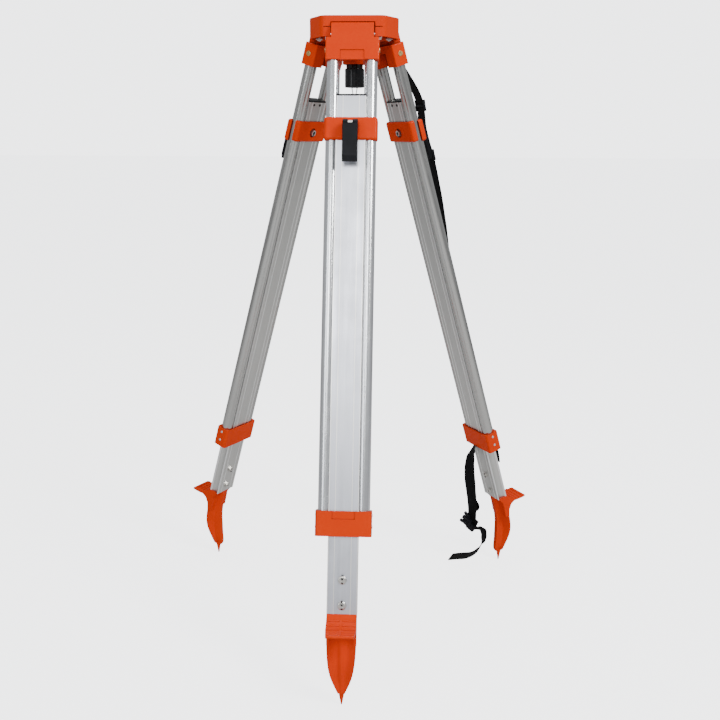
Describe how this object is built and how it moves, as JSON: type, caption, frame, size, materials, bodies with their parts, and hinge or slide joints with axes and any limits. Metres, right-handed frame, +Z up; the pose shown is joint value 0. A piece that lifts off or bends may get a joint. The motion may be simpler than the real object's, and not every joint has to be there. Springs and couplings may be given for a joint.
{
  "type": "surveyor tripod",
  "caption": "Flat-head surveying tripod with spreading telescopic aluminium legs, lever clamps, orange cast head and step feet, a central fixing screw and black carrying straps.",
  "frame": {"origin": "on the floor, under the centre of the head, with the legs spread as stored", "axes": "+Z up along the head's axis; one leg points along -Y, the other two at 30 and 150 degrees from +X"},
  "size_m": [0.7, 0.6066, 1.06],
  "materials": {
    "orange_paint": "semi-gloss orange powder coat on cast aluminium, slightly pebbled",
    "aluminium_tube": "satin drawn and anodised aluminium tube with fine lengthwise lines",
    "aluminium_rail": "matte silver anodised extrusion with fine lengthwise die lines",
    "black_plastic": "moulded black nylon with a fine grain",
    "steel_hardware": "zinc plated steel, slightly worn",
    "brass_screw": "turned brass, slightly dull",
    "webbing": "woven black polypropylene webbing"
  },
  "bodies": {
    "head": {"head_casting": "orange_paint", "hinge_pins": "steel_hardware", "tension_bolts": "steel_hardware", "arm_rivet": "steel_hardware"},
    "centring_arm": {"centring_arm": "steel_hardware"},
    "screw_shoe": {"screw_shoe": "steel_hardware"},
    "screw_lift": {"screw_flange": "orange_paint"},
    "fixing_screw": {"fixing_screw": "brass_screw", "stop_ring": "steel_hardware", "screw_knob": "black_plastic", "plumb_saddle": "black_plastic"},
    "plumb_hook": {"plumb_hook": "steel_hardware"},
    "upper_leg_front": {"hinge_block_front": "orange_paint", "leg_tubes_front": "aluminium_tube", "socket_screws_front": "brass_screw", "lower_collar_front": "orange_paint", "collar_rivets_front": "steel_hardware"},
    "lower_leg_front": {"leg_rail_front": "aluminium_rail", "end_cap_front": "black_plastic", "clamp_outer_front": "orange_paint", "clamp_inner_front": "orange_paint", "clamp_bolt_front": "steel_hardware", "foot_front": "orange_paint", "foot_screws_front": "steel_hardware"},
    "lever_front": {"lever_front": "black_plastic", "lever_pin_front": "steel_hardware"},
    "upper_leg_left": {"hinge_block_left": "orange_paint", "leg_tubes_left": "aluminium_tube", "socket_screws_left": "brass_screw", "lower_collar_left": "orange_paint", "collar_rivets_left": "steel_hardware"},
    "lower_leg_left": {"leg_rail_left": "aluminium_rail", "end_cap_left": "black_plastic", "clamp_outer_left": "orange_paint", "clamp_inner_left": "orange_paint", "clamp_bolt_left": "steel_hardware", "foot_left": "orange_paint", "foot_screws_left": "steel_hardware"},
    "lever_left": {"lever_left": "black_plastic", "lever_pin_left": "steel_hardware"},
    "upper_leg_right": {"hinge_block_right": "orange_paint", "leg_tubes_right": "aluminium_tube", "socket_screws_right": "brass_screw", "lower_collar_right": "orange_paint", "collar_rivets_right": "steel_hardware", "shoulder_strap": "webbing", "closing_strap": "webbing", "strap_anchor": "steel_hardware", "closing_buckle": "black_plastic", "strap_slider": "black_plastic", "strap_keeper": "black_plastic"},
    "lower_leg_right": {"leg_rail_right": "aluminium_rail", "end_cap_right": "black_plastic", "clamp_outer_right": "orange_paint", "clamp_inner_right": "orange_paint", "clamp_bolt_right": "steel_hardware", "foot_right": "orange_paint", "foot_screws_right": "steel_hardware"},
    "lever_right": {"lever_right": "black_plastic", "lever_pin_right": "steel_hardware"}
  },
  "joints": [
    {"name": "arm_swing", "type": "hinge", "parent": "head", "child": "centring_arm", "pos_m": [0, 0.05, 1.039], "axis": [0, 0, 1], "range_deg": [-15, 15]},
    {"name": "shoe_slide", "type": "slide", "parent": "centring_arm", "child": "screw_shoe", "axis": [0, 1, 0], "range_m": [-0.012, 0.012]},
    {"name": "screw_raise", "type": "slide", "parent": "screw_shoe", "child": "screw_lift", "axis": [0, 0, 1], "range_m": [0, 0.016]},
    {"name": "screw_turn", "type": "hinge", "parent": "screw_lift", "child": "fixing_screw", "pos_m": [0, 0, 1], "axis": [0, 0, 1], "continuous": true},
    {"name": "plumb_hook_swing", "type": "hinge", "parent": "fixing_screw", "child": "plumb_hook", "pos_m": [0, 0, 0.9549], "axis": [0, 1, 0], "range_deg": [-20, 20]},
    {"name": "leg_hinge_front", "type": "hinge", "parent": "head", "child": "upper_leg_front", "pos_m": [0, -0.05496, 1.03099], "axis": [-1, 0, 0], "range_deg": [-17.4, 17.5]},
    {"name": "leg_slide_front", "type": "slide", "parent": "upper_leg_front", "child": "lower_leg_front", "axis": [0, -0.2999, -0.954], "range_m": [-0.033, 0.55]},
    {"name": "clamp_lever_front", "type": "hinge", "parent": "lower_leg_front", "child": "lever_front", "pos_m": [0, -0.12507, 0.88804], "axis": [-1, 0, 0], "range_deg": [0, 100]},
    {"name": "leg_hinge_left", "type": "hinge", "parent": "head", "child": "upper_leg_left", "pos_m": [-0.0476, 0.02748, 1.03099], "axis": [0.5, 0.866, 0], "range_deg": [-17.4, 17.5]},
    {"name": "leg_slide_left", "type": "slide", "parent": "upper_leg_left", "child": "lower_leg_left", "axis": [-0.2598, 0.15, -0.954], "range_m": [-0.033, 0.55]},
    {"name": "clamp_lever_left", "type": "hinge", "parent": "lower_leg_left", "child": "lever_left", "pos_m": [-0.10831, 0.06253, 0.88804], "axis": [0.5, 0.866, 0], "range_deg": [0, 100]},
    {"name": "leg_hinge_right", "type": "hinge", "parent": "head", "child": "upper_leg_right", "pos_m": [0.0476, 0.02748, 1.03099], "axis": [0.5, -0.866, 0], "range_deg": [-17.4, 17.5], "deforming": ["closing_strap"]},
    {"name": "leg_slide_right", "type": "slide", "parent": "upper_leg_right", "child": "lower_leg_right", "axis": [0.2598, 0.15, -0.954], "range_m": [-0.033, 0.55]},
    {"name": "clamp_lever_right", "type": "hinge", "parent": "lower_leg_right", "child": "lever_right", "pos_m": [0.10831, 0.06253, 0.88804], "axis": [0.5, -0.866, 0], "range_deg": [0, 100]}
  ]
}
